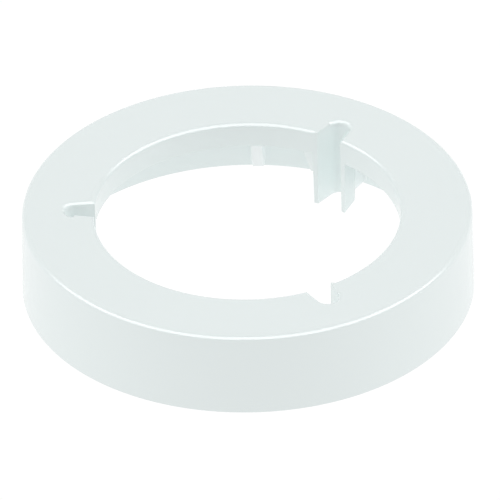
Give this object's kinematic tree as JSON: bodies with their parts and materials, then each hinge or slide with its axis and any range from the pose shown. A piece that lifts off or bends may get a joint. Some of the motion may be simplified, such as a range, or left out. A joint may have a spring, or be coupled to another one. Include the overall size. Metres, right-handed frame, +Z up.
{
  "type": "toilet flange",
  "caption": "Hollow white plastic spacer ring for a toilet flange, with a flat top, a wide central pipe hole and open U-shaped screw channels round the hole's edge.",
  "frame": {"origin": "centre of the ring at the plane its foot stands on", "axes": "+Z up along the ring's axis, out of the flat seat; one screw channel points along -X and the others lie at 60 degrees either side of +X"},
  "size_m": [0.1784, 0.1784, 0.0356],
  "materials": {
    "white_plastic": "smooth glossy injection-moulded plastic, slightly cool off-white"
  },
  "bodies": {
    "root": {"channel_web_1": "white_plastic", "channel_web_2": "white_plastic", "channel_web_3": "white_plastic", "far_gusset_1": "white_plastic", "far_gusset_2": "white_plastic", "far_gusset_3": "white_plastic", "far_gusset_4": "white_plastic", "far_gusset_5": "white_plastic", "far_gusset_6": "white_plastic", "inner_collar_1": "white_plastic", "inner_collar_2": "white_plastic", "inner_collar_3": "white_plastic", "near_gusset_1": "white_plastic", "near_gusset_2": "white_plastic", "near_gusset_3": "white_plastic", "near_gusset_4": "white_plastic", "near_gusset_5": "white_plastic", "near_gusset_6": "white_plastic", "outer_wall": "white_plastic", "screw_channel_1": "white_plastic", "screw_channel_2": "white_plastic", "screw_channel_3": "white_plastic", "top_plate": "white_plastic"}
  },
  "joints": []
}
